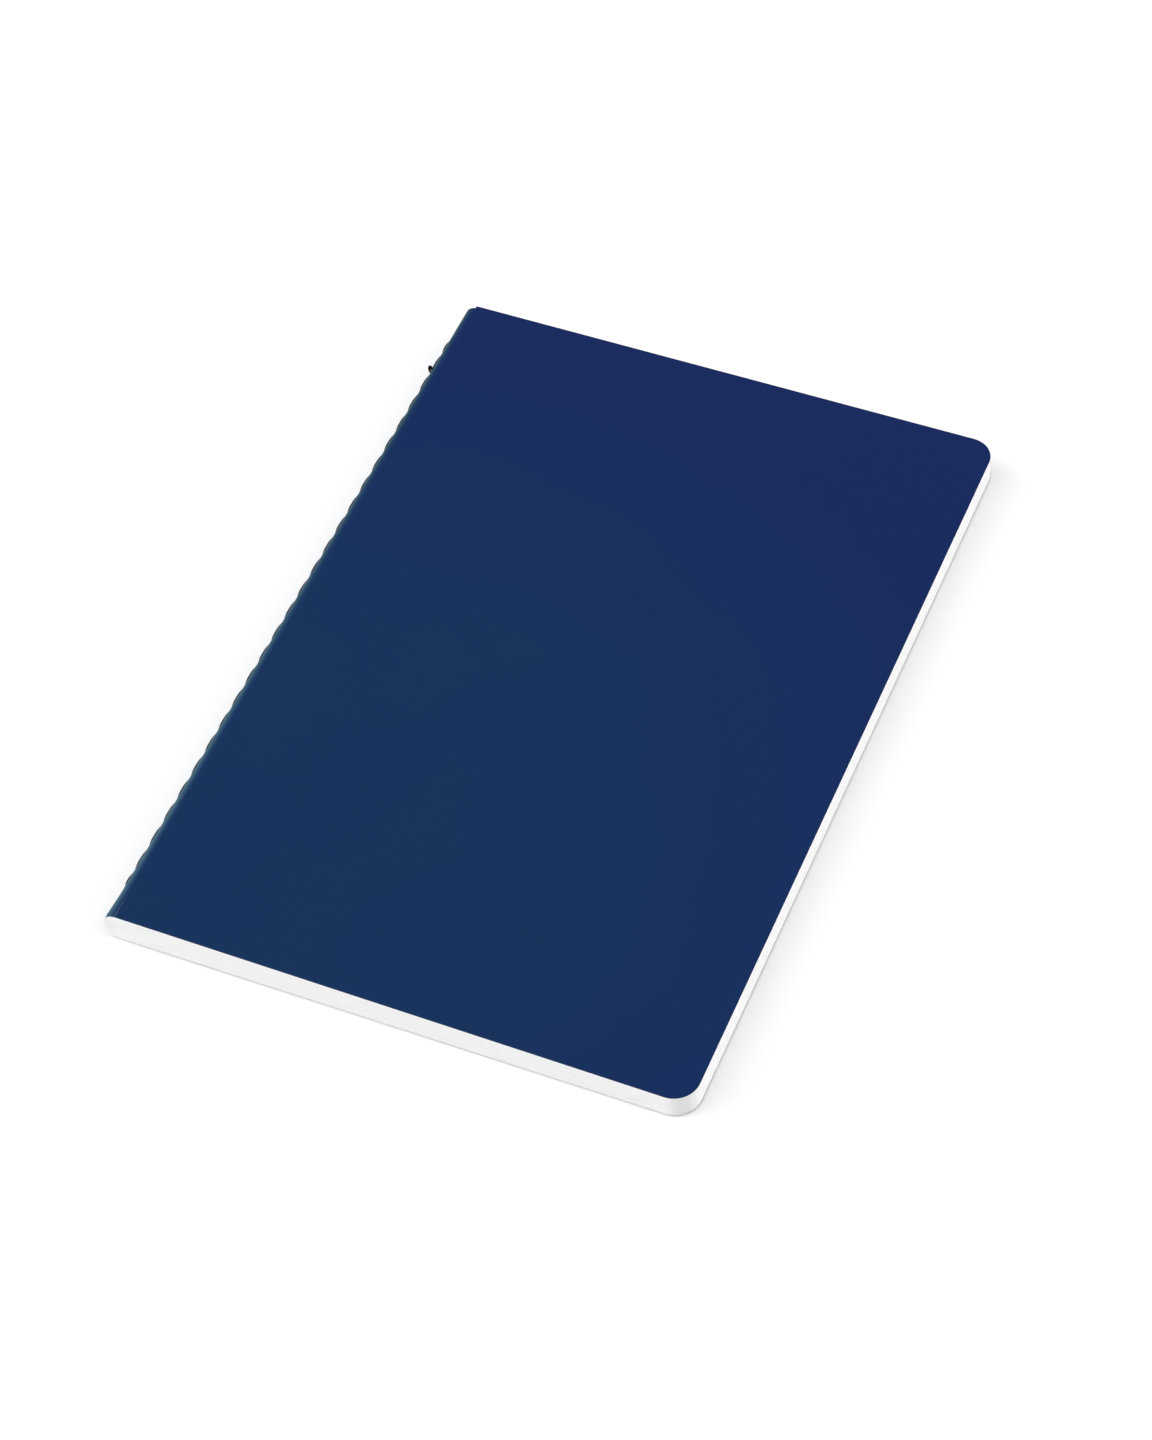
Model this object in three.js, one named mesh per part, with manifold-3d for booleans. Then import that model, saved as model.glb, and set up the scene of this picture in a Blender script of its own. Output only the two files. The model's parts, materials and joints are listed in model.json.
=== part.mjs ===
// A soft-cover A5 notebook, closed and lying on its back cover: folded sheets nested in a folded cover of
// card and sewn through the fold. Millimetres, +Z up, the fold along Y on the -X side. The origin is the
// middle of the flat underside.
import * as THREE from "three";
import { mergeVertices } from "three/addons/utils/BufferGeometryUtils.js";
import Module from "manifold-3d";

const wasm = await Module();
wasm.setup();

// Format: fold to fore edge, head to tail, and the corners cut round at the fore edge.
const formatWidth = 148;
const formatHeight = 210;
const cornerRadius = 6.3;
const cornerSegments = 6;

// The block: sheets folded once, so that each gives a front and a back leaf. The leaves lie pressed together
// at the fore edge and looser near the fold, which makes the block thicker there. The air in the crease
// parts its front half from its back half.
const sheetCount = 25;
const sheetThickness = 0.12;
const foreEdgeAir = 0.003;
const foldAir = 0.038;
const creaseAir = 0.02;

// The cover is a single folded card.
const cardThickness = 0.35;

// The fold: slack left round the nested sheets, the strip by the fold line that the leaves stay clear of, so
// that they turn about it, and the V of the innermost crease.
const foldSlack = 0.25;
const hingeClearance = 0.35;
const nestClearance = 0.02;
const creaseDepth = 0.4;
const creaseHeight = 1.2;
const foldSegments = 11;

// Sewing: one thread along the outside of the fold and one in the crease, which meet in the holes.
const threadDiameter = 0.4;
const threadSides = 6;
const threadClearance = 0.02;
const threadMeeting = 0.3;
const legSpacing = 0.5;
const holeRadius = 0.55;
const holeSides = 8;
const punchOverrun = 3;
const tailMargin = 10.8;
const headMargin = 10.2;
const tailStitch = 5.1;
const headStitch = 5.2;
const fullStitches = 24;

// The thread's end stands out of the fold as a small loop in the stitches near the head.
const loopRadius = 0.55;
const loopStitchesFromHead = 1.88;
const loopGap = 0.3;
const loopSteps = 10;

// Derived places. The fold line is where the two halves of the notebook turn.
const leafPitchAtFold = sheetThickness + foldAir;
const leafPitchAtFore = sheetThickness + foreEdgeAir;
const heightAtFold = 2 * (cardThickness + sheetCount * leafPitchAtFold) + creaseAir;
const heightAtFore = 2 * (cardThickness + sheetCount * leafPitchAtFore) + creaseAir;
const foldLine = cardThickness + sheetCount * sheetThickness + foldSlack;
const leafStart = foldLine + hingeClearance;
const middle = heightAtFold / 2;
const threadRadius = threadDiameter / 2;
const creaseHalfAngle = Math.atan2(creaseHeight / 2, creaseDepth);

const paper = new THREE.MeshStandardMaterial({ color: 0xf4f4f2, roughness: 0.9, metalness: 0 });
const card = new THREE.MeshStandardMaterial({ color: 0x1c305f, roughness: 0.5, metalness: 0 });
const thread = new THREE.MeshStandardMaterial({ color: 0x101a33, roughness: 0.8, metalness: 0 });

const notebook = new THREE.Group();
notebook.position.set(-formatWidth / 2, -formatHeight / 2, 0);
notebook.updateMatrixWorld(true);

// Adds a named piece to the notebook.
function addPiece(name, geometry, material) {
  const mesh = new THREE.Mesh(geometry, material);
  mesh.name = name;
  notebook.add(mesh);
  return mesh;
}

// The outline of a leaf, seen from above: square at the fold, round at the two fore-edge corners.
function leafOutline() {
  const length = formatWidth - leafStart;
  const outline = new THREE.Shape();
  outline.moveTo(0, 0);
  outline.lineTo(length - cornerRadius, 0);
  outline.absarc(length - cornerRadius, cornerRadius, cornerRadius, -Math.PI / 2, 0, false);
  outline.absarc(length - cornerRadius, formatHeight - cornerRadius, cornerRadius, 0, Math.PI / 2, false);
  outline.lineTo(0, formatHeight);
  outline.closePath();
  return outline;
}

// Adds a flat leaf whose underside is at the given heights at the fold and at the fore edge.
function addLeaf(name, thickness, atFold, atFore, material) {
  const options = { depth: thickness, bevelEnabled: false, curveSegments: cornerSegments };
  const leaf = addPiece(name, new THREE.ExtrudeGeometry(leafOutline(), options), material);
  leaf.position.set(leafStart, 0, atFold);
  leaf.rotation.y = Math.atan2(atFold - atFore, formatWidth - leafStart);
}

// The height of a back leaf's underside above the table; sheet 1 is the outermost.
function backLeafHeight(sheet, pitch, air) {
  return cardThickness + air + (sheet - 1) * pitch;
}

// Both leaves of each sheet. The front leaf lies as far below the top as the back leaf lies above the table.
function addSheets() {
  for (let sheet = 1; sheet <= sheetCount; sheet += 1) {
    const number = String(sheet).padStart(2, "0");
    const atFold = backLeafHeight(sheet, leafPitchAtFold, foldAir);
    const atFore = backLeafHeight(sheet, leafPitchAtFore, foreEdgeAir);
    addLeaf(`sheet_${number}_back_leaf`, sheetThickness, atFold, atFore, paper);
    const frontAtFold = heightAtFold - atFold - sheetThickness;
    const frontAtFore = heightAtFore - atFore - sheetThickness;
    addLeaf(`sheet_${number}_front_leaf`, sheetThickness, frontAtFold, frontAtFore, paper);
  }
}

// The two halves of the cover, on either side of the fold strip.
function addCoverHalves() {
  addLeaf("cover_back", cardThickness, 0, 0, card);
  addLeaf("cover_front", cardThickness, heightAtFold - cardThickness, heightAtFore - cardThickness, card);
}

// Points of the half ellipse round the fold, from its top to its foot, inset from the cover's outer face.
function foldCurve(inset) {
  const points = [];
  for (let i = 0; i <= foldSegments; i += 1) {
    const angle = Math.PI / 2 + (Math.PI * i) / foldSegments;
    const x = foldLine + (foldLine - inset) * Math.cos(angle);
    points.push(new THREE.Vector2(x, middle + (middle - inset) * Math.sin(angle)));
  }
  points[0].x = foldLine;
  points[foldSegments].x = foldLine;
  return points;
}

// The flat face that the fold's curve has at mid-height, on which the stitches lie.
function flatFaceAt(inset) {
  return foldLine - (foldLine - inset) * Math.cos(Math.PI / (2 * foldSegments));
}

// A section in the XZ plane drawn out from tail to head.
function drawOut(points) {
  const options = { depth: formatHeight, bevelEnabled: false };
  const geometry = new THREE.ExtrudeGeometry(new THREE.Shape(points), options);
  geometry.rotateX(Math.PI / 2);
  geometry.translate(0, formatHeight, 0);
  return geometry;
}

// Places of the stitch holes along the fold, from the tail to the head.
function holePlaces() {
  const sewn = formatHeight - tailMargin - headMargin;
  const fullStitch = (sewn - tailStitch - headStitch) / fullStitches;
  const places = [tailMargin];
  for (let i = 0; i <= fullStitches; i += 1) {
    places.push(tailMargin + tailStitch + i * fullStitch);
  }
  places.push(formatHeight - headMargin);
  return places;
}

function toSolid(geometry) {
  const bare = geometry.clone();
  bare.deleteAttribute("normal");
  bare.deleteAttribute("uv");
  const merged = mergeVertices(bare, 1e-5);
  const vertProperties = new Float32Array(merged.attributes.position.array);
  const triVerts = new Uint32Array(merged.index.array);
  return new wasm.Manifold(new wasm.Mesh({ numProp: 3, vertProperties, triVerts }));
}

function fromSolid(solid) {
  const mesh = solid.getMesh();
  const geometry = new THREE.BufferGeometry();
  geometry.setAttribute("position", new THREE.BufferAttribute(mesh.vertProperties, 3));
  geometry.setIndex(new THREE.BufferAttribute(mesh.triVerts, 1));
  geometry.computeVertexNormals();
  return geometry;
}

// Cuts the stitch holes through a piece, along X at mid-height.
function cutHoles(geometry, places) {
  let solid = toSolid(geometry);
  for (const place of places) {
    const length = foldLine + 2 * punchOverrun;
    const punch = new THREE.CylinderGeometry(holeRadius, holeRadius, length, holeSides);
    punch.rotateZ(Math.PI / 2);
    punch.translate(foldLine / 2, place, middle);
    solid = solid.subtract(toSolid(punch));
  }
  return fromSolid(solid);
}

// The cover's strip round the fold and, inside it, the folds of all the sheets pressed together.
function addFold(places) {
  const strip = [...foldCurve(0), ...foldCurve(cardThickness).reverse()];
  addPiece("cover_fold", cutHoles(drawOut(strip), places), card);
  const crease = [
    new THREE.Vector2(foldLine, middle - creaseHeight / 2),
    new THREE.Vector2(foldLine - creaseDepth, middle),
    new THREE.Vector2(foldLine, middle + creaseHeight / 2),
  ];
  const nest = [...foldCurve(cardThickness + nestClearance), ...crease];
  addPiece("sheet_folds", cutHoles(drawOut(nest), places), paper);
}

// A closed tube along a bent line in a plane of constant height, with mitred corners.
function mitredTube(path) {
  const positions = [];
  const index = [];
  const last = path.length - 1;
  path.forEach((point, i) => {
    const into = (i > 0 ? point.clone().sub(path[i - 1]) : path[1].clone().sub(point)).normalize();
    const onward = i < last ? path[i + 1].clone().sub(point).normalize() : into;
    const along = into.clone().add(onward).normalize();
    const across = new THREE.Vector2(-along.y, along.x);
    const stretch = 1 / along.dot(onward);
    for (let side = 0; side < threadSides; side += 1) {
      const angle = (2 * Math.PI * (side + 0.5)) / threadSides;
      const reach = threadRadius * Math.cos(angle) * stretch;
      positions.push(point.x + across.x * reach, point.y + across.y * reach);
      positions.push(middle + threadRadius * Math.sin(angle));
    }
  });
  for (let i = 0; i < last; i += 1) {
    for (let side = 0; side < threadSides; side += 1) {
      const next = (side + 1) % threadSides;
      const a = i * threadSides + side;
      const b = i * threadSides + next;
      index.push(a, b, a + threadSides, b, b + threadSides, a + threadSides);
    }
  }
  for (let side = 1; side < threadSides - 1; side += 1) {
    const end = last * threadSides;
    index.push(0, side + 1, side);
    index.push(end, end + side, end + side + 1);
  }
  const geometry = new THREE.BufferGeometry();
  geometry.setAttribute("position", new THREE.Float32BufferAttribute(positions, 3));
  geometry.setIndex(index);
  geometry.computeVertexNormals();
  return geometry;
}

// A sewn thread: it runs at one depth from hole to hole and dips into each hole on two legs.
function sewnPath(places, runDepth, dipDepth) {
  const path = [];
  const half = legSpacing / 2;
  places.forEach((place, i) => {
    if (i > 0) {
      path.push(new THREE.Vector2(runDepth, place - half), new THREE.Vector2(dipDepth, place - half));
    }
    if (i < places.length - 1) {
      path.push(new THREE.Vector2(dipDepth, place + half), new THREE.Vector2(runDepth, place + half));
    }
  });
  return path;
}

function addThreads(places) {
  const outerRun = flatFaceAt(0) - threadRadius - threadClearance;
  const innerRun = foldLine - creaseDepth + (threadRadius + threadClearance) / Math.sin(creaseHalfAngle);
  const meeting = (outerRun + innerRun) / 2;
  const reach = threadRadius + threadMeeting / 2;
  addPiece("outer_thread", mitredTube(sewnPath(places, outerRun, meeting - reach)), thread);
  addPiece("inner_thread", mitredTube(sewnPath(places, innerRun, meeting + reach)), thread);
  addThreadEnd(places, outerRun - threadDiameter - loopGap);
}

// The end of the outer thread, turned back on itself in a small open loop.
function addThreadEnd(places, nearest) {
  const headStitchIndex = places.length - 1 - Math.floor(loopStitchesFromHead);
  const part = loopStitchesFromHead % 1;
  const place = places[headStitchIndex] - part * (places[headStitchIndex] - places[headStitchIndex - 1]);
  const path = [];
  for (let i = 0; i <= loopSteps; i += 1) {
    const angle = -Math.PI / 2 - (Math.PI * i) / loopSteps;
    const x = nearest + loopRadius * Math.cos(angle);
    path.push(new THREE.Vector2(x, place + loopRadius * Math.sin(angle)));
  }
  addPiece("thread_end", mitredTube(path), thread);
}

const places = holePlaces();
addSheets();
addCoverHalves();
addFold(places);
addThreads(places);

export default notebook;
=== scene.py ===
"""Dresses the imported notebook: card cover, nested sheets, sewn threads, floor, lamps and camera.

Metres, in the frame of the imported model: +Z up, the fold along Y on the -X side.
"""
import json
import math

import bmesh
import bpy
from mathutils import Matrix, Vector

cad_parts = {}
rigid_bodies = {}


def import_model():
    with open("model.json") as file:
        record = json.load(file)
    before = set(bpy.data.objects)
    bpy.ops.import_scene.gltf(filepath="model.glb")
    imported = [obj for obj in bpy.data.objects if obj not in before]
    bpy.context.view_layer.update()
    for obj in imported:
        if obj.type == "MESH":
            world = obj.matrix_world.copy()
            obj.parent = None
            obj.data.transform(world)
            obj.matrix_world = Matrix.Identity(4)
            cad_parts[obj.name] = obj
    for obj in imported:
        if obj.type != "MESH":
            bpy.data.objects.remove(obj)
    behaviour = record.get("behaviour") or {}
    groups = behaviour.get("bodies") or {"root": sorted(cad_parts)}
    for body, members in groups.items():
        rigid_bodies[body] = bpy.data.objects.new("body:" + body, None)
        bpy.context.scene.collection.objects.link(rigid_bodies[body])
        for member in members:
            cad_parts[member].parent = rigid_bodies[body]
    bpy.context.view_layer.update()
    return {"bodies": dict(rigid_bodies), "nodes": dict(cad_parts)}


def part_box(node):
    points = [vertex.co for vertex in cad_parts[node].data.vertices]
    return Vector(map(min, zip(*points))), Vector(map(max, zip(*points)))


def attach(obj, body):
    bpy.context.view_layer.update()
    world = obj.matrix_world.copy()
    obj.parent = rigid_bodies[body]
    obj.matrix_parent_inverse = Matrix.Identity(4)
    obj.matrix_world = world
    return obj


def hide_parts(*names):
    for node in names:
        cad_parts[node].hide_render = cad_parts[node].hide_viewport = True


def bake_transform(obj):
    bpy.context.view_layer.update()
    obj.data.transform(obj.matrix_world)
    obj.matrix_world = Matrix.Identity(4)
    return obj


bl_info = {
    "name": "Sewn notebook",
    "version": (1, 0, 0),
    "blender": (4, 5, 0),
    "location": "View3D > Sidebar > Notebook",
    "description": "Makes a sewn notebook's cover, sheets, threads and stage round its frame",
    "category": "Object",
}

MM = 0.001

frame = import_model()

# Places that the frame gives: the fold line, where both halves turn, the format, and the heights.
SPINE_X, FOLD_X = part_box("cover_fold")[0].x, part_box("cover_fold")[1].x
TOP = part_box("cover_fold")[1].z
MIDDLE = TOP / 2
FORE_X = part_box("cover_back")[1].x
TAIL_Y, HEAD_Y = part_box("cover_back")[0].y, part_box("cover_back")[1].y
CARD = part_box("cover_back")[1].z
FORE_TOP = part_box("cover_front")[0].z + CARD
SHEET_COUNT = sum(name.endswith("_back_leaf") for name in frame["nodes"])
TURNING = [body for body in frame["bodies"] if body.startswith("turning_leaf_")]
LOOP_LOW, LOOP_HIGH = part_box("thread_end")

FOLD_LINE = (FOLD_X, 0, MIDDLE)
FOLD_DEPTH = FOLD_X - SPINE_X
WIDTH = FORE_X - FOLD_X
LENGTH = HEAD_Y - TAIL_Y

# How near two places are to count as one, and two vertices to be merged.
NEAR = 0.01 * MM
WELD = 0.001 * MM

SMOOTH_ANGLE = math.radians(32)


# --- Working by hand ---


def deselect():
    """Leaves edit mode, with no object selected."""
    if bpy.context.object and bpy.context.object.mode != "OBJECT":
        bpy.ops.object.mode_set(mode="OBJECT")
    bpy.ops.object.select_all(action="DESELECT")


def select_only(obj):
    deselect()
    obj.select_set(True)
    bpy.context.view_layer.objects.active = obj


def edit(obj):
    """Opens one object alone in edit mode, with nothing selected."""
    select_only(obj)
    bpy.ops.object.mode_set(mode="EDIT")
    bpy.ops.mesh.select_all(action="DESELECT")


def pick_all():
    bpy.ops.mesh.select_all(action="SELECT")


def pick(kind, test):
    """Selects the verts, edges or faces whose middle passes the test, and fails if none does."""
    bpy.ops.mesh.select_mode(type=kind)
    bpy.ops.mesh.select_all(action="DESELECT")
    mesh = bmesh.from_edit_mesh(bpy.context.object.data)
    items = {"VERT": mesh.verts, "EDGE": mesh.edges, "FACE": mesh.faces}[kind]
    found = False
    for item in items:
        if kind == "VERT":
            place = item.co
        else:
            place = sum((v.co for v in item.verts), Vector()) / len(item.verts)
        if test(place):
            item.select_set(True)
            found = True
    mesh.select_flush_mode()
    bmesh.update_edit_mesh(bpy.context.object.data)
    if not found:
        raise RuntimeError(f"nothing to pick on {bpy.context.object.name}")


def drag(distance, reach, falloff):
    """Moves what is picked along X, and what lies within reach of it less and less."""
    bpy.ops.transform.translate(
        value=(distance, 0, 0), use_proportional_edit=True, proportional_edit_falloff=falloff,
        proportional_size=reach)


def apply_all(obj):
    """Applies all modifiers of an object."""
    select_only(obj)
    for modifier in list(obj.modifiers):
        bpy.ops.object.modifier_apply(modifier=modifier.name)


def copy_of(obj, name):
    twin = obj.copy()
    twin.data = obj.data.copy()
    bpy.context.scene.collection.objects.link(twin)
    return renamed(twin, name)


def renamed(obj, name):
    obj.name = obj.data.name = name
    return obj


def part_at(obj, height, low_name, high_name):
    """Parts an object in two at a height and names both pieces, the lower one first."""
    edit(obj)
    pick("FACE", lambda p: p.z > height)
    before = set(bpy.data.objects)
    bpy.ops.mesh.separate(type="SELECTED")
    deselect()
    high = next(o for o in bpy.data.objects if o not in before)
    return renamed(obj, low_name), renamed(high, high_name)


def set_materials(obj, materials):
    obj.data.materials.clear()
    for made in materials:
        obj.data.materials.append(made)


def smooth(obj):
    """Rounds the shading of a finished piece, with its cut edges left sharp."""
    select_only(obj)
    bpy.ops.object.shade_smooth_by_angle(angle=SMOOTH_ANGLE)


# --- Materials ---


# Painted sheen: between these two distances from a point near the tail of the fold, the cover's
# colour runs from a lit, greener navy to a darker, bluer one.
SHEEN_CENTRE = (-40 * MM, -60 * MM, TOP)
SHEEN_NEAR, SHEEN_FAR = 70 * MM, 165 * MM

# The painted highlight on the fold's upper curve, a teal reflection of the lamps and the room
# painted into the ink: from its tail colour to its head colour, full to none across the fold,
# and none to full up the fold.
HIGHLIGHT_TAIL_Y, HIGHLIGHT_HEAD_Y = -75 * MM, 55 * MM
HIGHLIGHT_FULL_X, HIGHLIGHT_NONE_X = FOLD_X - 1.7 * MM, FOLD_X - 0.6 * MM
HIGHLIGHT_NONE_Z, HIGHLIGHT_FULL_Z = MIDDLE + 0.7 * MM, MIDDLE + 2.2 * MM

# The layers that show where the sheets are cut.
STREAK_LENGTH, STREAK_HEIGHT = 8 * MM, 0.25 * MM


def linear(colour):
    """An sRGB hex colour as linear RGBA."""
    parts = [int(colour[i:i + 2], 16) / 255 for i in (1, 3, 5)]
    return [c / 12.92 if c <= 0.04045 else ((c + 0.055) / 1.055) ** 2.4 for c in parts] + [1.0]


def node(tree, kind, settings=None, links=None):
    """Adds a node with its settings and links, given by property or socket name."""
    made = tree.nodes.new(kind)
    for key, value in (settings or {}).items():
        if hasattr(made, key):
            setattr(made, key, value)
        else:
            made.inputs[key].default_value = value
    for key, source in (links or {}).items():
        tree.links.new(source, made.inputs[key])
    return made


def new_material(name, values):
    """A material whose shader has the given uniform values, and the place on a piece to draw by."""
    made = bpy.data.materials.new(name)
    made.use_nodes = True
    tree = made.node_tree
    shader = tree.nodes["Principled BSDF"]
    for socket, value in values.items():
        shader.inputs[socket].default_value = value
    place = node(tree, "ShaderNodeTexCoord").outputs["Object"]
    return made, tree, shader, place


def material(make, name, *details, **more):
    """The material of that name, made on its first use."""
    return bpy.data.materials.get(name) or make(name, *details, **more)


def mix_colours(tree, factor, a, b):
    """From colour a to colour b, each a hex colour or another node's output."""
    made = node(tree, "ShaderNodeMix", {"data_type": "RGBA"})
    tree.links.new(factor, made.inputs[0])
    for socket, value in ((made.inputs[6], a), (made.inputs[7], b)):
        if isinstance(value, str):
            socket.default_value = linear(value)
        else:
            tree.links.new(value, socket)
    return made.outputs[2]


def calculate(tree, operation, a, b):
    """An operation on two nodes' outputs."""
    made = node(tree, "ShaderNodeMath", {"operation": operation})
    tree.links.new(a, made.inputs[0])
    tree.links.new(b, made.inputs[1])
    return made.outputs["Value"]


def band(tree, value, low, high, to_low=0.0, to_high=1.0):
    """Maps a value that goes from low to high to one that goes from to_low to to_high."""
    settings = {"From Min": low, "From Max": high, "To Min": to_low, "To Max": to_high}
    return node(tree, "ShaderNodeMapRange", settings, {"Value": value}).outputs["Result"]


def noise(tree, place, size, detail=2.0):
    """Noise whose blotches are about the given real size across."""
    settings = {"Scale": 1 / size, "Detail": detail}
    return node(tree, "ShaderNodeTexNoise", settings, {"Vector": place}).outputs["Fac"]


def add_bump(tree, shader, height, strength, distance):
    settings = {"Strength": strength, "Distance": distance}
    bump = node(tree, "ShaderNodeBump", settings, {"Height": height})
    tree.links.new(bump.outputs["Normal"], shader.inputs["Normal"])


def printed_card(name, colours):
    """Folding boxboard printed navy and finished with a matt varnish: a faint cloudiness in the
    ink and the board's fibres just felt under the film. Light is painted into the colour: a
    sheen that leaves the cover greener near the tail of the fold and darker and bluer away from
    it, and a teal highlight on the fold's upper curve, strongest at the tail."""
    made, tree, shader, place = new_material(name, {
        "Specular IOR Level": 0.02, "Sheen Weight": 0.02, "Sheen Roughness": 0.3,
        "Sheen Tint": (0.35, 0.8, 1, 1)})
    cloud = band(tree, noise(tree, place, 45 * MM), 0.35, 0.65)
    ink = mix_colours(tree, cloud, colours.cover, colours.cover_cloud)
    # painted sheen: the cover greener near the tail of the fold and darker and bluer away from it,
    # as light from the left would leave it
    from_tail = node(tree, "ShaderNodeVectorMath", {"operation": "DISTANCE"})
    tree.links.new(place, from_tail.inputs[0])
    from_tail.inputs[1].default_value = SHEEN_CENTRE
    sheen_fade = band(tree, from_tail.outputs["Value"], SHEEN_NEAR, SHEEN_FAR)
    ink = mix_colours(tree, sheen_fade, ink, colours.cover_past_sheen)
    axes = node(tree, "ShaderNodeSeparateXYZ", links={"Vector": place}).outputs
    # painted highlight: a teal reflection painted into the ink on the fold's upper curve, strongest
    # at the tail
    along = band(tree, axes["Y"], HIGHLIGHT_TAIL_Y, HIGHLIGHT_HEAD_Y)
    fold_highlight = mix_colours(tree, along, colours.fold_highlight_tail, colours.fold_highlight_head)
    across = band(tree, axes["X"], HIGHLIGHT_FULL_X, HIGHLIGHT_NONE_X, 1, 0)
    up = band(tree, axes["Z"], HIGHLIGHT_NONE_Z, HIGHLIGHT_FULL_Z)
    ink = mix_colours(tree, calculate(tree, "MULTIPLY", across, up), ink, fold_highlight)
    speck = band(tree, noise(tree, place, 0.5 * MM), 0.72, 0.80, 0, 0.2)
    tree.links.new(mix_colours(tree, speck, ink, colours.cover_speck), shader.inputs["Base Color"])
    fibres = noise(tree, place, 0.35 * MM, 4)
    tree.links.new(band(tree, fibres, 0.3, 0.7, 0.26, 0.34), shader.inputs["Roughness"])
    add_bump(tree, shader, fibres, strength=0.10, distance=0.02 * MM)
    return made


def pulp(name, colour, shade, roughness, depth, cut=False):
    """Uncoated pulp, dull and white: faint flocculation, 3 mm across, and fibres too fine to show,
    drawn 0.25 mm across so that they just show up close. Where the sheets are cut, their layers
    show as faint streaks instead."""
    made, tree, shader, place = new_material(
        name, {"Roughness": roughness, "Specular IOR Level": 0.2})
    if cut:
        flat = {"Scale": (1, 1, STREAK_LENGTH / STREAK_HEIGHT)}
        layers = node(tree, "ShaderNodeMapping", flat, {"Vector": place}).outputs["Vector"]
        blotches = band(tree, noise(tree, layers, STREAK_LENGTH), 0.45, 0.7, 0, 0.7)
    else:
        blotches = band(tree, noise(tree, place, 3 * MM, 3), 0.35, 0.65)
    tree.links.new(mix_colours(tree, blotches, colour, shade), shader.inputs["Base Color"])
    add_bump(tree, shader, noise(tree, place, 0.25 * MM, 4), strength=0.25, distance=depth)
    return made


def spun_thread(name, colours):
    """Polyester bookbinding thread, spun from filaments: dull and almost black navy, with filaments
    0.05 mm apart along each ply."""
    made, tree, shader, place = new_material(name, {"Roughness": 0.75, "Specular IOR Level": 0})
    filaments = noise(tree, place, 0.05 * MM, 1)
    lit = band(tree, filaments, 0.35, 0.65)
    colour = mix_colours(tree, lit, colours.thread, colours.thread_light)
    tree.links.new(colour, shader.inputs["Base Color"])
    add_bump(tree, shader, filaments, strength=0.4, distance=0.02 * MM)
    return made


# --- Settings ---


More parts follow.
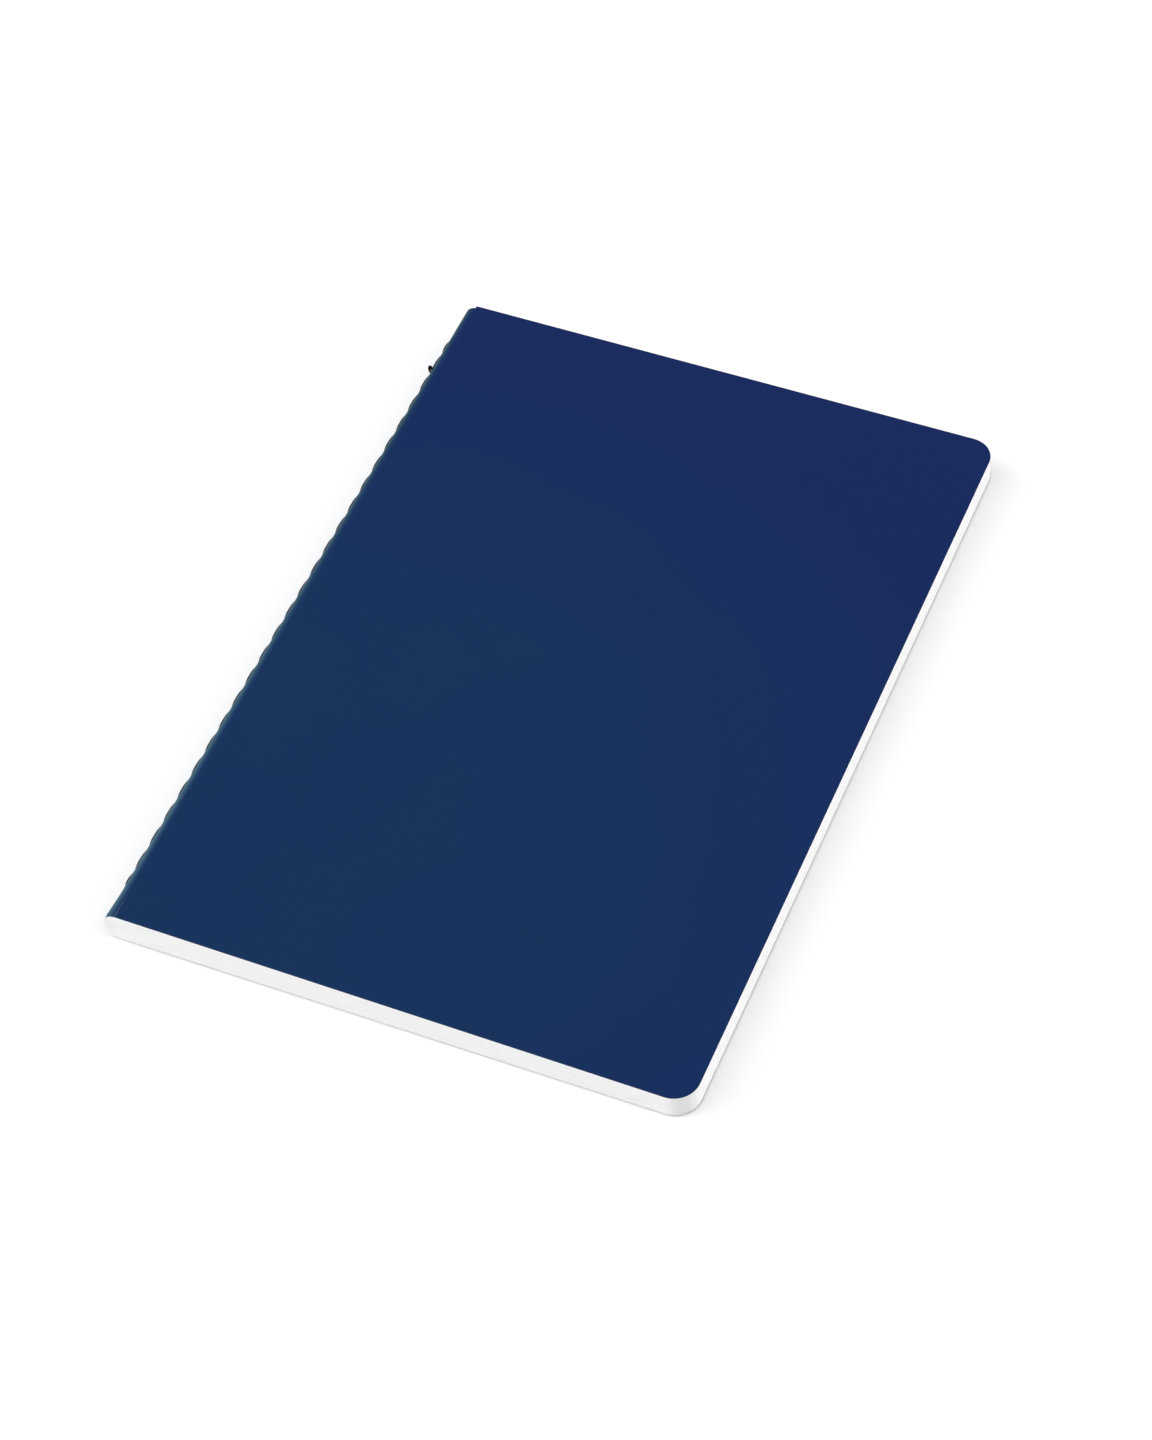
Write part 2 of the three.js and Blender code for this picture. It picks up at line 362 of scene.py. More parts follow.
class NotebookSizes(bpy.types.PropertyGroup):
    corner_radius: bpy.props.FloatProperty(
        name="Corner radius", description="Round corners at the fore edge", default=6.3 * MM,
        unit="LENGTH")
    sheet_gap: bpy.props.FloatProperty(
        name="Sheet gap", description="Air between two sheets", default=0.006 * MM, unit="LENGTH")
    seam_angle: bpy.props.FloatProperty(
        name="Seam angle", description="From the top or the foot of the fold to the spine strip",
        default=math.radians(6), subtype="ANGLE")
    crease_width: bpy.props.FloatProperty(
        name="Crease width", description="Card beyond the fold line that bends as a half opens",
        default=0.4 * MM, unit="LENGTH")
    strip_step: bpy.props.FloatProperty(
        name="Strip step", description="Turn from one column of the spine strip to the next",
        default=math.radians(3), subtype="ANGLE")
    split_steps: bpy.props.FloatProperty(
        name="Split steps", description="Where the strip is parted, in its steps above the middle",
        default=4.5)
    tail_margin: bpy.props.FloatProperty(
        name="Tail margin", description="Tail to the first stitch hole", default=10.8 * MM,
        unit="LENGTH")
    head_margin: bpy.props.FloatProperty(
        name="Head margin", description="Head to the last stitch hole", default=10.2 * MM,
        unit="LENGTH")
    tail_stitch: bpy.props.FloatProperty(
        name="Tail stitch", description="Short stitch at the tail", default=5.1 * MM, unit="LENGTH")
    head_stitch: bpy.props.FloatProperty(
        name="Head stitch", description="Short stitch at the head", default=5.2 * MM, unit="LENGTH")
    full_stitches: bpy.props.IntProperty(
        name="Full stitches", description="Stitches of full length", default=24)
    hole_radius: bpy.props.FloatProperty(
        name="Hole radius", description="Holes in the cover for the thread", default=0.36 * MM,
        unit="LENGTH")
    sewn_band: bpy.props.FloatProperty(
        name="Sewn band", description="Half the height of the fold's middle that the sewing moves",
        default=0.3 * MM, unit="LENGTH")
    press: bpy.props.FloatProperty(
        name="Press", description="How far the sewing presses the fold's middle in",
        default=0.14 * MM, unit="LENGTH")
    press_reach: bpy.props.FloatProperty(
        name="Press reach", description="Over how much the press fades out", default=2.6 * MM,
        unit="LENGTH")
    flare: bpy.props.FloatProperty(
        name="Flare", description="How far the fold stands out at the tail, beyond the stitches",
        default=0.35 * MM, unit="LENGTH")
    flare_reach: bpy.props.FloatProperty(
        name="Flare reach", description="Over how much the flare fades out", default=9 * MM,
        unit="LENGTH")
    flare_fill: bpy.props.FloatProperty(
        name="Flare fill", description="Share of its loose thickness that a sheet has in the flare",
        default=0.56)
    head_nick: bpy.props.FloatProperty(
        name="Head nick", description="How much shorter the card is at the fold's head end",
        default=0.75 * MM, unit="LENGTH")
    bulge: bpy.props.FloatProperty(
        name="Bulge", description="How far the card stands out between two holes",
        default=0.43 * MM, unit="LENGTH")
    bulge_reach: bpy.props.FloatProperty(
        name="Bulge reach", description="Over how much the bulge fades out", default=2.7 * MM,
        unit="LENGTH")
    crest: bpy.props.FloatProperty(
        name="Crest", description="Least half length of the bulge's crest", default=0.55 * MM,
        unit="LENGTH")
    thread_radius: bpy.props.FloatProperty(
        name="Thread radius", description="Radius of the twisted thread", default=0.3 * MM,
        unit="LENGTH")
    end_radius: bpy.props.FloatProperty(
        name="End radius", description="Radius of the thread's end, where nothing pulls it tight",
        default=0.37 * MM, unit="LENGTH")
    end_rise: bpy.props.FloatProperty(
        name="End rise", description="How steeply the thread's end stands up from the fold",
        default=math.radians(76), subtype="ANGLE")
    thread_twist: bpy.props.FloatProperty(
        name="Thread twist", description="Length in which the plies go round once",
        default=1.3 * MM, unit="LENGTH")
    dip_width: bpy.props.FloatProperty(
        name="Dip width", description="Width of the thread's dip into a hole", default=0.5 * MM,
        unit="LENGTH")
    inner_depth: bpy.props.FloatProperty(
        name="Inner depth", description="From the fold line into the fold, to the inner thread",
        default=0.1 * MM, unit="LENGTH")
    inner_dip: bpy.props.FloatProperty(
        name="Inner dip", description="How far the inner thread gives way at a hole",
        default=0.05 * MM, unit="LENGTH")


class NotebookColours(bpy.types.PropertyGroup):
    cover: bpy.props.StringProperty(
        name="Cover", description="Ink of the cover, sRGB", default="#18335c")
    cover_cloud: bpy.props.StringProperty(
        name="Cover cloud", description="The ink where it lies thicker, sRGB", default="#18325c")
    # Painted sheen: the cover's darker, bluer colour at the head's fore-edge corner, where the
    # sheen painted near the tail of the fold has faded out.
    cover_past_sheen: bpy.props.StringProperty(
        name="Cover far", description="The ink at the head's fore-edge corner, sRGB",
        default="#182a5e")
    # Painted highlight: these two colours paint a teal reflection onto the fold's upper curve,
    # brighter near the tail and darker near the head.
    fold_highlight_tail: bpy.props.StringProperty(
        name="Fold tail", description="The rubbed ink near the tail, sRGB", default="#2f4f64")
    fold_highlight_head: bpy.props.StringProperty(
        name="Fold head", description="The rubbed ink near the head, sRGB", default="#0b334a")
    cover_speck: bpy.props.StringProperty(
        name="Cover speck", description="Dust and lint on the varnish, sRGB", default="#24426c")
    card: bpy.props.StringProperty(
        name="Card", description="The card's core and inner face, sRGB", default="#fafaf9")
    card_shade: bpy.props.StringProperty(
        name="Card shade", description="Darker blotches in the card, sRGB", default="#f6f6f4")
    paper: bpy.props.StringProperty(name="Paper", description="Leaves, sRGB", default="#fafafa")
    paper_shade: bpy.props.StringProperty(
        name="Paper shade", description="Darker blotches in the paper, sRGB", default="#f8f8f7")
    edge_shade: bpy.props.StringProperty(
        name="Edge shade", description="Streaks on the cut edges, sRGB", default="#ebebec")
    thread: bpy.props.StringProperty(
        name="Thread", description="Sewing thread, sRGB", default="#070c1a")
    thread_light: bpy.props.StringProperty(
        name="Thread light", description="Filaments that catch the light, sRGB", default="#111930")


class NotebookStage(bpy.types.PropertyGroup):
    eye: bpy.props.FloatVectorProperty(
        name="Eye", description="Place of the camera", subtype="TRANSLATION",
        default=(265.3 * MM, -501.0 * MM, 704.8 * MM))
    aim: bpy.props.FloatVectorProperty(
        name="Aim", description="The camera's rotation", subtype="EULER",
        default=tuple(math.radians(a) for a in (38.1606, 3.8971, 22.8996)))
    lens: bpy.props.FloatProperty(name="Lens", description="Focal length in mm", default=92.2)
    sensor: bpy.props.FloatProperty(name="Sensor", description="Sensor height in mm", default=36)
    floor_size: bpy.props.FloatProperty(
        name="Floor size", description="Side of the floor", default=12, unit="LENGTH")
    floor_drop: bpy.props.FloatProperty(
        name="Floor drop", description="Room under the notebook for a cover opened out flat",
        default=0.4 * MM, unit="LENGTH")
    floor: bpy.props.StringProperty(name="Floor", description="Floor, sRGB", default="#f2f2f2")
    floor_lift: bpy.props.FloatProperty(
        name="Floor lift", description="Light that the floor adds where the camera sees it",
        default=0.2)
    ambient: bpy.props.FloatProperty(
        name="Ambient", description="Strength of the world", default=0.55)


# --- Cover ---


CORNER_STEPS = 14
CREASE_CUTS = 4
ROW_STEP = MM


def stitch_holes(sizes):
    """Places of the stitch holes along the fold, from the tail to the head."""
    first, last = TAIL_Y + sizes.tail_margin, HEAD_Y - sizes.head_margin
    low, high = first + sizes.tail_stitch, last - sizes.head_stitch
    pitch = (high - low) / sizes.full_stitches
    return [first, *(low + pitch * i for i in range(sizes.full_stitches + 1)), last]


def add_leaf(name, height, corner_radius):
    """A flat leaf at a height, from the fold line to the fore edge, with its two fore corners
    rounded. It is left open in edit mode."""
    deselect()
    bpy.ops.mesh.primitive_plane_add(size=1)
    leaf = renamed(bpy.context.object, name)
    edit(leaf)
    pick_all()
    bpy.ops.transform.resize(value=(WIDTH, LENGTH, 1))
    middle = ((FORE_X + FOLD_X) / 2, (TAIL_Y + HEAD_Y) / 2, height)
    bpy.ops.transform.translate(value=middle)
    pick("VERT", lambda p: p.x > FORE_X - NEAR)
    bpy.ops.mesh.bevel(offset=corner_radius, segments=CORNER_STEPS, affect="VERTICES")
    return leaf


def make_cover_half(name, sizes, slope, below):
    """One half of the cover: a panel that slopes down to the fore edge, with cuts across its
    crease, and the start of the fold's curve."""
    panel = add_leaf(name, TOP, sizes.corner_radius)
    # the start of the curve, turned about the middle of the fold and pressed flat to its depth
    pick("EDGE", lambda p: abs(p.x - FOLD_X) < NEAR)
    turns = round(sizes.seam_angle / sizes.strip_step) * 2
    bpy.ops.mesh.spin(steps=turns, angle=sizes.seam_angle, center=FOLD_LINE, axis=(0, 1, 0))
    pick("VERT", lambda p: p.x < FOLD_X - NEAR)
    bpy.ops.transform.resize(value=(FOLD_DEPTH / MIDDLE, 1, 1), center_override=FOLD_LINE)
    for i in range(CREASE_CUTS):
        cut = FOLD_X + (i + 1) / CREASE_CUTS * sizes.crease_width
        pick_all()
        bpy.ops.mesh.bisect(plane_co=(cut, 0, 0), plane_no=(1, 0, 0))
    pick("VERT", lambda p: p.x > FOLD_X + NEAR)
    bpy.ops.transform.rotate(value=-slope, orient_axis="Y", center_override=(FOLD_X, 0, TOP))
    if below:
        pick_all()
        bpy.ops.transform.resize(value=(1, 1, -1), center_override=FOLD_LINE)
        bpy.ops.mesh.flip_normals()
    deselect()
    return panel


def hole_frame(sizes):
    """Half the side of the square that is cut from the strip for a hole: two of its columns."""
    return MIDDLE * math.sin(2 * sizes.strip_step)


def strip_rows(sizes, holes):
    """Places along the spine strip: close together at each hole and about 1 mm apart elsewhere."""
    side = hole_frame(sizes)
    near = [hole + share * side for hole in holes for share in (-1, -0.5, 0, 0.5, 1)]
    fixed = [TAIL_Y, *near, HEAD_Y - sizes.head_nick]
    rows = []
    for low, high in zip(fixed, fixed[1:]):
        count = max(1, round((high - low) / ROW_STEP))
        rows += [low + (high - low) * i / count for i in range(count)]
    return rows + [fixed[-1]]


def fade(way):
    """1 at 0, 0 from 1 on, and smooth between."""
    way = min(1.0, max(0.0, way))
    return 1 - way * way * (3 - 2 * way)


def flare_tail(rows, share, reach):
    """Stretches the open object's fold by a share of its depth at the tail, less row by row."""
    for row in rows:
        if row < TAIL_Y + reach:
            pick("VERT", lambda p: abs(p.y - row) < NEAR and p.x < FOLD_X - NEAR)
            factor = 1 + share * fade((row - TAIL_Y) / reach)
            bpy.ops.transform.resize(value=(factor, 1, 1), center_override=FOLD_LINE)


def punch(strip, hole, side, radius):
    """Cuts a square of four by four faces out of the open strip and makes its edge a round hole."""
    pick("FACE", lambda p: abs(p.y - hole) < side and abs(p.z - MIDDLE) < side)
    bpy.ops.mesh.delete(type="FACE")
    around = 1.1 * side
    pick("VERT", lambda p: abs(p.y - hole) < around and abs(p.z - MIDDLE) < around)
    bpy.ops.transform.tosphere(value=1)
    rim = bmesh.from_edit_mesh(strip.data)
    narrow = radius / max(abs(v.co.y - hole) for v in rim.verts if v.select)
    bpy.ops.transform.resize(value=(1, narrow, narrow), center_override=(SPINE_X, hole, MIDDLE))


def make_strip(sizes, holes):
    """The card round the fold: a line of points along the seam, spun round the fold and pressed to
    its depth, flared at the tail, punched, pressed in by the sewing, and drawn out between the
    holes by the stitches."""
    rows = strip_rows(sizes, holes)
    deselect()
    bpy.ops.mesh.primitive_plane_add(size=MM)
    strip = renamed(bpy.context.object, "cover_strip")
    edit(strip)
    pick_all()
    bpy.ops.mesh.merge(type="CENTER")
    pick_all()
    seam = sizes.seam_angle
    start = (FOLD_X - MIDDLE * math.sin(seam), rows[0], MIDDLE + MIDDLE * math.cos(seam))
    bpy.ops.transform.translate(value=start)
    for low, high in zip(rows, rows[1:]):
        bpy.ops.mesh.extrude_vertices_move(TRANSFORM_OT_translate={"value": (0, high - low, 0)})
    pick_all()
    turn = math.pi - 2 * seam
    steps = round(turn / sizes.strip_step)
    bpy.ops.mesh.spin(steps=steps, angle=turn, center=FOLD_LINE, axis=(0, 1, 0))
    pick_all()
    bpy.ops.mesh.remove_doubles(threshold=WELD)
    bpy.ops.transform.resize(value=(FOLD_DEPTH / MIDDLE, 1, 1), center_override=FOLD_LINE)
    flare_tail(rows, sizes.flare / FOLD_DEPTH, sizes.flare_reach)
    for hole in holes:
        punch(strip, hole, hole_frame(sizes), sizes.hole_radius)
    near = sizes.sewn_band
    pick("VERT", lambda p: abs(p.z - MIDDLE) < near and holes[0] < p.y < holes[-1])
    drag(sizes.press, sizes.press_reach, "SMOOTH")
    crests = [((low + high) / 2, max(sizes.crest, (high - low) / 2 - sizes.bulge_reach))
              for low, high in zip(holes, holes[1:])]
    pick("VERT", lambda p: abs(p.z - MIDDLE) < near and any(abs(p.y - m) < r for m, r in crests))
    drag(-sizes.bulge, sizes.bulge_reach, "SHARP")
    pick_all()
    bpy.ops.mesh.normals_make_consistent(inside=False)
    deselect()
    return strip


def point_outwards(strip):
    """Turns the open strip so that its normals point out of the fold, towards -X."""
    if sum(p.area * p.normal.x for p in strip.data.polygons) > 0:
        strip.data.flip_normals()


def thicken_card(obj, board, core):
    """Gives a sheet of card its thickness on its inner side, printed outside and bare elsewhere."""
    set_materials(obj, (board, core))
    solid = obj.modifiers.new("thickness", "SOLIDIFY")
    solid.thickness = CARD
    solid.offset = -1
    solid.use_even_offset = True
    solid.material_offset = solid.material_offset_rim = 1
    apply_all(obj)
    smooth(obj)


class NOTEBOOK_OT_cover(bpy.types.Operator):
    """Make the cover of one folded card: two halves and the strip round the fold"""

    bl_idname = "notebook.cover"
    bl_label = "Cover"

    def execute(self, context):
        sizes, colours = context.scene.notebook_sizes, context.scene.notebook_colours
        board = material(printed_card, "navy_varnished_board", colours)
        core = material(
            pulp, "board_core", colours.card, colours.card_shade, roughness=0.85, depth=0.03 * MM)
        slope = math.atan2(TOP - FORE_TOP, WIDTH)
        front = make_cover_half("cover_front_panel", sizes, slope, below=False)
        back = make_cover_half("cover_back_panel", sizes, 0, below=True)
        strip = make_strip(sizes, stitch_holes(sizes))
        split_height = MIDDLE + MIDDLE * math.sin(sizes.split_steps * sizes.strip_step)
        lower, upper = part_at(strip, split_height, "cover_strip_back", "cover_strip_front")
        point_outwards(lower)
        point_outwards(upper)
        for piece in (front, back, lower, upper):
            thicken_card(piece, board, core)
        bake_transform(front)
        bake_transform(back)
        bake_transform(lower)
        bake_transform(upper)
        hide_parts("cover_front")
        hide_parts("cover_back")
        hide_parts("cover_fold")
        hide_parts("cover_fold")
        return {"FINISHED"}


# --- Sheets ---


FOLD_STEPS = 16
FLARE_ROWS = 6


def make_folded_sheet(sizes):
    """The pattern for every sheet: two leaves, 1 mm above and 1 mm below the middle, and the fold
    between them, a half round that is flared at the tail."""
    sheet = add_leaf("sheet_pattern", MIDDLE + MM, sizes.corner_radius)
    pick_all()
    bpy.ops.mesh.duplicate()
    bpy.ops.transform.resize(value=(1, 1, -1), center_override=FOLD_LINE)
    bpy.ops.mesh.flip_normals()
    pick("EDGE", lambda p: abs(p.x - FOLD_X) < NEAR and p.z > MIDDLE)
    bpy.ops.mesh.spin(steps=FOLD_STEPS, angle=math.pi, center=FOLD_LINE, axis=(0, 1, 0))
    pick_all()
    bpy.ops.mesh.remove_doubles(threshold=WELD)
    bpy.ops.mesh.normals_make_consistent(inside=False)
    # the sheets fill the flare, and the room that the press leaves in front of the first hole
    rows = [TAIL_Y + sizes.tail_margin * i / FLARE_ROWS for i in range(FLARE_ROWS)]
    for row in rows[1:]:
        pick_all()
        bpy.ops.mesh.bisect(plane_co=(0, row, 0), plane_no=(0, 1, 0))
    share = (sizes.flare + sizes.press) / (FOLD_DEPTH - CARD - sizes.press)
    flare_tail(rows, share, sizes.tail_margin)
    deselect()
    return sheet


def shape_sheet(sheet, depth, half):
    """Presses a copy of the pattern to its own depth and half height at the fold line."""
    edit(sheet)
    pick_all()
    bpy.ops.transform.resize(value=(1, 1, half / MM), center_override=FOLD_LINE)
    pick("VERT", lambda p: p.x < FOLD_X - NEAR)
    bpy.ops.transform.resize(value=(depth / MM, 1, 1), center_override=FOLD_LINE)
    deselect()


def lean_leaf(sheet, side, half, drop):
    """Leans the leaf above (1) or below (-1) the middle down towards the fore edge."""
    edit(sheet)
    pick("VERT", lambda p: p.x > FOLD_X + NEAR and (p.z - MIDDLE) * side > 0)
    centre = (FOLD_X, 0, MIDDLE + side * half)
    bpy.ops.transform.rotate(
        value=-math.atan2(drop, WIDTH), orient_axis="Y", center_override=centre)
    deselect()


def looseness(place, half, sizes):
    """How thick a sheet lies: 1 at the fold line, where it is loosest, so that no dark gap shows
    there, and 0 at the fore edge. At the middle of the fold's curve it is 0 too, but for the
    flare."""
    if place.x >= FOLD_X:
        return max(0.0, (FORE_X - place.x) / WIDTH)
    share = min(1.0, ((place.z - MIDDLE) / half) ** 2)
    flared = fade((place.y - TAIL_Y) / sizes.tail_margin)
    return share + (1 - share) * sizes.flare_fill * flared


def thicken_sheet(sheet, half, at_fold, at_fore, skins, sizes):
    """Gives a sheet its thickness on its inner side, by how loose it lies."""
    group = sheet.vertex_groups.new(name="looseness")
    for vertex in sheet.data.vertices:
        group.add([vertex.index], looseness(vertex.co, half, sizes), "REPLACE")
    set_materials(sheet, skins)
    solid = sheet.modifiers.new("thickness", "SOLIDIFY")
    solid.thickness = at_fold
    solid.offset = -1
    solid.vertex_group = group.name
    solid.thickness_vertex_group = at_fore / at_fold
    solid.material_offset_rim = 1
    apply_all(sheet)
    sheet.vertex_groups.clear()
    smooth(sheet)


class NOTEBOOK_OT_sheets(bpy.types.Operator):
    """Make the folded sheets, one inside the other"""

    bl_idname = "notebook.sheets"
    bl_label = "Sheets"

    def execute(self, context):
        sizes, colours = context.scene.notebook_sizes, context.scene.notebook_colours
        paper = material(
            pulp, "uncoated_paper", colours.paper, colours.paper_shade, roughness=0.9,
            depth=0.02 * MM)
        cut_edge = material(
            pulp, "cut_paper_edge", colours.paper, colours.edge_shade, roughness=0.9,
            depth=0.02 * MM, cut=True)
        pattern = make_folded_sheet(sizes)
        gap = sizes.sheet_gap
        at_fold = (MIDDLE - CARD) / SHEET_COUNT
        at_fore = (FORE_TOP / 2 - CARD) / SHEET_COUNT
        at_apex = (FOLD_DEPTH - CARD - sizes.press) / SHEET_COUNT
        closer = at_fold - at_fore
        for i in range(SHEET_COUNT):
            number = i + 1
            half = MIDDLE - CARD - at_fold * i - gap / 2
            depth = at_apex * (SHEET_COUNT - i) - gap / 2
            name = f"sheet_{number:02d}"
            sheet = copy_of(pattern, name)
            shape_sheet(sheet, depth, half)
            turning = f"turning_leaf_{number}"
            if turning in TURNING:
                pieces = (sheet, sheet)
            else:
                pieces = part_at(sheet, MIDDLE, name + "_back", name + "_front")
            lean_leaf(pieces[0], -1, half, closer * i)
            lean_leaf(pieces[1], 1, half, TOP - FORE_TOP - closer * i)
            for piece in dict.fromkeys(pieces):
                thicken_sheet(piece, half, at_fold - gap, at_fore - gap, (paper, cut_edge), sizes)
            if turning in TURNING:
                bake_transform(sheet)
                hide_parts(name + "_back_leaf", name + "_front_leaf", "sheet_folds")
            else:
                back, front = pieces
                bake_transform(back)
                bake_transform(front)
                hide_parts(name + "_back_leaf", "sheet_folds")
                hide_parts(name + "_front_leaf", "sheet_folds")
        bpy.data.objects.remove(pattern)
        return {"FINISHED"}


# --- Threads ---


PLY_SIDES = 7
TURN_STEPS = 9
PLY_WELD = 0.0001 * MM

# A dip's bottom, as a share of its width, and where between two holes the thread follows the bulge.
DIP_BOTTOM = 0.6
BULGE_PLACES = (0.3, 0.5, 0.7)

# The corners of the thread's end: how far each stands out, and its place along the fold as a share
# of the loop's half length, which is the solid's without the thread's thickness.
LOOP_CORNERS = ((0.1 * MM, -0.8), (0.7 * MM, -1), (1.45 * MM, -0.6),
                (1.45 * MM, 0.6), (0.7 * MM, 1), (0.1 * MM, 0.8))
LOOP_SHARE = 0.8


def add_path(name, points):
    """A smooth curve at mid-height that rounds the given (x, y) corners, and its length."""
    curve = bpy.data.curves.new(name, "CURVE")
    curve.dimensions = "3D"
    curve.twist_mode = "Z_UP"
    curve.resolution_u = 6
    spline = curve.splines.new("NURBS")
    spline.points.add(len(points) - 1)
    for point, (x, y) in zip(spline.points, points):
        point.co = (x, y, MIDDLE, 1)
    spline.order_u = 3
    spline.use_endpoint_u = True
    path = bpy.data.objects.new(name, curve)
    bpy.context.scene.collection.objects.link(path)
    bpy.context.view_layer.update()
    return path, spline.calc_length()


def twist_thread(name, radius, twist, points, spun):
    """Three plies twisted together: rings that touch one another inside the thread's radius,
    screwed into a straight thread and laid along the path."""
    path, length = add_path(name + "_path", points)
    ply = radius / (1 + 2 / math.sqrt(3))
    deselect()
    bpy.ops.mesh.primitive_circle_add(vertices=PLY_SIDES, radius=ply, rotation=(math.pi / 2, 0, 0))
    thread = renamed(bpy.context.object, name)
    bpy.ops.object.transform_apply(location=True, rotation=True, scale=True)
    edit(thread)
    pick_all()
    bpy.ops.transform.translate(value=(radius - ply, 0, 0))
    for _ in range(2):
        bpy.ops.mesh.duplicate()
        bpy.ops.transform.rotate(
            value=2 * math.pi / 3, orient_axis="Y", center_override=(0, 0, 0))
    deselect()
    turns = length / twist
    screw = thread.modifiers.new("twist", "SCREW")
    screw.axis = "Y"
    screw.angle = 2 * math.pi * turns
    screw.screw_offset = length
    screw.steps = screw.render_steps = round(turns * TURN_STEPS)
    screw.use_smooth_shade = True
    follow = thread.modifiers.new("path", "CURVE")
    follow.object = path
    follow.deform_axis = "POS_Y"
    apply_all(thread)
    bpy.data.objects.remove(path)
    edit(thread)
    pick_all()
    bpy.ops.mesh.remove_doubles(threshold=PLY_WELD)
    bpy.ops.mesh.fill_holes(sides=PLY_SIDES)
    pick_all()
    bpy.ops.mesh.normals_make_consistent(inside=False)
    set_materials(thread, (spun,))
    smooth(thread)
    return thread


def sewn_points(holes, run, dip, half_width, bulge):
    """The thread's corners: along the fold at one depth, with a dip into every hole. Between two
    holes it follows the card's bulge."""
    points = []
    for i, hole in enumerate(holes):
        if i > 0:
            points += [(run, hole - half_width), (dip, hole - DIP_BOTTOM * half_width)]
        if i < len(holes) - 1:
            points += [(dip, hole + DIP_BOTTOM * half_width), (run, hole + half_width)]
            span = holes[i + 1] - hole
            points += [(run - bulge, hole + span * share) for share in BULGE_PLACES]
    return points


class NOTEBOOK_OT_threads(bpy.types.Operator):
    """Make the two sewing threads and the thread's end"""

    bl_idname = "notebook.threads"
    bl_label = "Threads"

    def execute(self, context):
        sizes, colours = context.scene.notebook_sizes, context.scene.notebook_colours
        spun = material(spun_thread, "spun_navy_thread", colours)
        holes = stitch_holes(sizes)
        half_width = sizes.dip_width / 2
        outer_run = SPINE_X + sizes.press - sizes.thread_radius
        outer = twist_thread(
            "sewing_thread_outside", sizes.thread_radius, sizes.thread_twist,
            sewn_points(holes, outer_run, outer_run + CARD, half_width, sizes.bulge), spun)
        inner_run = FOLD_X - sizes.inner_depth
        inner = twist_thread(
            "sewing_thread_inside", sizes.thread_radius, sizes.thread_twist,
            sewn_points(holes, inner_run, inner_run + sizes.inner_dip, half_width, 0), spun)
        centre_y = (LOOP_LOW.y + LOOP_HIGH.y) / 2
        reach = LOOP_SHARE * (LOOP_HIGH.y - LOOP_LOW.y) / 2
        foot = outer_run - sizes.bulge
        loop = [(foot - rise, centre_y + share * reach) for rise, share in LOOP_CORNERS]
        end = twist_thread("thread_end_loop", sizes.end_radius, sizes.thread_twist, loop, spun)
        edit(end)
        pick_all()
        bpy.ops.transform.rotate(
            value=-sizes.end_rise, orient_axis="Y", center_override=(foot, 0, MIDDLE))
        deselect()
        sewn = ((outer, "outer_thread", "spine"), (inner, "inner_thread", "sheet_fold"),
                (end, "thread_end", "spine"))
        for piece, replaced, body in sewn:
            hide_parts(replaced)
            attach(piece, body)
        return {"FINISHED"}


# --- Stage ---


WHITE = (1, 1, 1, 1)


def seen_rays(tree):
    """1 where the camera sees a surface, straight, mirrored or through glass, and 0 for the light
    that the surface gives."""
    rays = node(tree, "ShaderNodeLightPath").outputs
    bent = calculate(tree, "MAXIMUM", rays["Is Glossy Ray"], rays["Is Transmission Ray"])
    return calculate(tree, "MAXIMUM", rays["Is Camera Ray"], bent)


def white_floor(stage):
    """A smooth white sweep. Where the camera sees it, it adds light of its own up to white, so that
    the background is white and the notebook's shadow still shows."""
    made, tree, shader, _ = new_material("white_sweep", {
        "Base Color": linear(stage.floor), "Roughness": 0.9, "Specular IOR Level": 0.1,
        "Emission Color": WHITE})
    lift = band(tree, seen_rays(tree), 0, 1, 0, stage.floor_lift)
    tree.links.new(lift, shader.inputs["Emission Strength"])
    return made


def add_lamp(name, direction, level, spread, colour=(1, 1, 1)):
    """A soft box so far off that its light is even: the level is what it gives to a white surface
    that faces it, and the spread its width in degrees, as seen from the notebook."""
    lamp = bpy.data.lights.new(name, "SUN")
    lamp.energy = level * math.pi
    lamp.angle = math.radians(spread)
    lamp.color = colour
    box = bpy.data.objects.new(name, lamp)
    box.location = Vector(direction).normalized()
    box.rotation_euler = Vector(direction).to_track_quat("Z", "Y").to_euler()
    bpy.context.scene.collection.objects.link(box)


def add_world(stage):
    """A white room: the ambient strength as light, and full white where the camera sees it."""
    world = bpy.data.worlds.new("white_room")
    bpy.context.scene.world = world
    world.use_nodes = True
    tree = world.node_tree
    background = tree.nodes["Background"]
    background.inputs["Color"].default_value = WHITE
    strength = band(tree, seen_rays(tree), 0, 1, stage.ambient, 1)
    tree.links.new(strength, background.inputs["Strength"])


def add_camera(stage):
    camera = bpy.data.cameras.new("camera")
    camera.lens = stage.lens
    camera.sensor_fit = "VERTICAL"
    camera.sensor_height = camera.sensor_width = stage.sensor
    camera.clip_start, camera.clip_end = 0.01, 20
    eye = bpy.data.objects.new("camera", camera)
    eye.location = stage.eye
    eye.rotation_euler = stage.aim
    bpy.context.scene.collection.objects.link(eye)
    bpy.context.scene.camera = eye


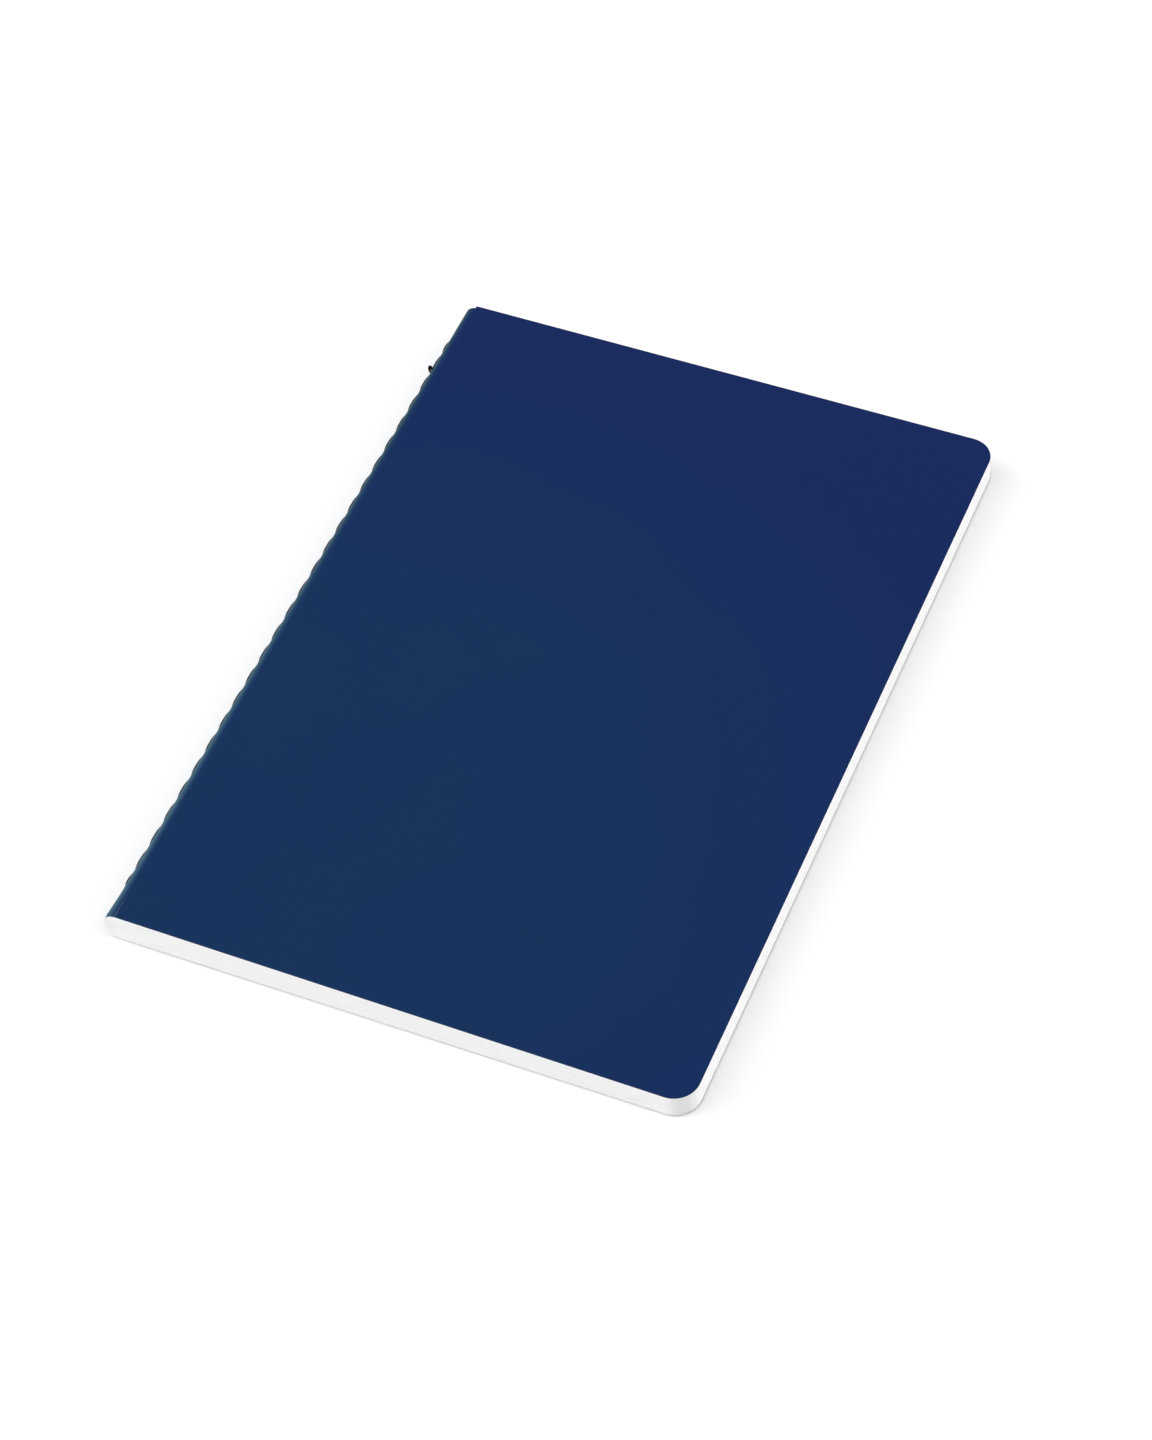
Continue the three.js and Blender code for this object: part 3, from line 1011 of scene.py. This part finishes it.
class NOTEBOOK_OT_stage(bpy.types.Operator):
    """Make the floor, the lamps, the world and the camera"""

    bl_idname = "notebook.stage"
    bl_label = "Stage"

    def execute(self, context):
        stage = context.scene.notebook_stage
        deselect()
        bpy.ops.mesh.primitive_plane_add(
            size=stage.floor_size, location=(0, 0, -stage.floor_drop))
        floor = renamed(context.object, "floor")
        floor.data.materials.append(white_floor(stage))
        add_world(stage)
        add_lamp("left", (-0.7, -0.35, 0.75), level=0.47, spread=65)
        add_lamp("low_left", (-0.85, -0.3, 0.3), level=0.12, spread=40)
        add_lamp("low_right", (0.76, 0.66, 0.05), level=0.74, spread=20)
        add_lamp("low_front", (-0.7, -0.75, 0.1), level=0.05, spread=20)
        add_lamp(
            "low_back_left", (-0.95, 0.12, 0.14), level=0.26, spread=20, colour=(0.7, 1, 0.93))
        add_camera(stage)
        context.scene.view_settings.view_transform = "Standard"
        return {"FINISHED"}


# --- Add-on ---


class NOTEBOOK_PT_panel(bpy.types.Panel):
    """Lists the notebook's pieces and settings"""

    bl_label = "Sewn notebook"
    bl_idname = "NOTEBOOK_PT_panel"
    bl_space_type = "VIEW_3D"
    bl_region_type = "UI"
    bl_category = "Notebook"

    def draw(self, context):
        for step in STEPS:
            self.layout.operator(step.bl_idname)
        for settings in GROUPS:
            box = self.layout.box()
            group = getattr(context.scene, settings)
            for name in group.__annotations__:
                box.prop(group, name)


STEPS = (NOTEBOOK_OT_stage, NOTEBOOK_OT_cover, NOTEBOOK_OT_sheets, NOTEBOOK_OT_threads)
GROUPS = {
    "notebook_sizes": NotebookSizes,
    "notebook_colours": NotebookColours,
    "notebook_stage": NotebookStage,
}


def register():
    for cls in (*GROUPS.values(), *STEPS, NOTEBOOK_PT_panel):
        bpy.utils.register_class(cls)
    for name, group in GROUPS.items():
        setattr(bpy.types.Scene, name, bpy.props.PointerProperty(type=group))


def unregister():
    for name in GROUPS:
        delattr(bpy.types.Scene, name)
    for cls in (NOTEBOOK_PT_panel, *reversed(STEPS), *reversed(list(GROUPS.values()))):
        bpy.utils.unregister_class(cls)


def main():
    register()
    for step in ("stage", "cover", "sheets", "threads"):
        getattr(bpy.ops.notebook, step)()


if __name__ == "__main__":
    main()
